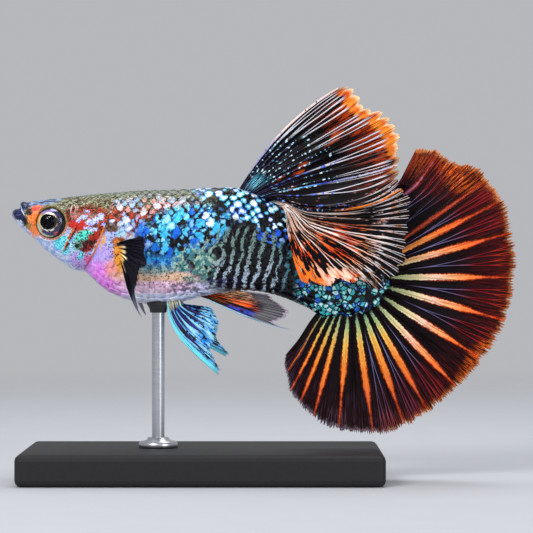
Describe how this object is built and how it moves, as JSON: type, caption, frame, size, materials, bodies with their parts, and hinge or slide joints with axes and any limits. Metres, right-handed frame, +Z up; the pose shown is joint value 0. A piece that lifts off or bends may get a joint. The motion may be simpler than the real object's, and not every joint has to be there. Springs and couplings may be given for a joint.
{
  "type": "fancy guppy",
  "caption": "Male aquarium fish, a slim body with a patterned flank, an upturned mouth, a tall folded back fin and a wide fan-shaped tail fin, held on a flat stand by a rod.",
  "frame": {"origin": "on the floor, under the middle of the fish's length, on its plane of symmetry", "axes": "the fish faces -X with its left flank towards -Y; +Z is up"},
  "size_m": [0.0482, 0.02, 0.0375],
  "materials": {
    "skin": "wet skin, olive over the head, blue and turquoise on a black flank",
    "scales": "small clear scales with a wet sheen",
    "eye": "wet and clear over a gold and dark blue iris",
    "dorsal_fin": "black membrane with white rays and an orange edge",
    "caudal_fin": "black and dark red membrane with cream to orange streaks",
    "anal_fin": "smoky membrane with orange rays and a pale blue edge",
    "pelvic_fin": "bright blue with black streaks",
    "pectoral_fin": "black with cream rays at the root",
    "stand_base": "satin black",
    "stand_rod": "fine brushed"
  },
  "bodies": {
    "root": {"head": "skin", "torso": "skin", "tail": "skin", "eye_left": "eye", "eye_right": "eye", "dorsal_fin": "dorsal_fin", "caudal_fin": "caudal_fin", "anal_fin": "anal_fin", "pelvic_fin_left": "pelvic_fin", "pelvic_fin_right": "pelvic_fin", "pectoral_fin_left": "pectoral_fin", "pectoral_fin_right": "pectoral_fin", "stand_base": "stand_base", "stand_rod": "stand_rod"}
  },
  "joints": []
}
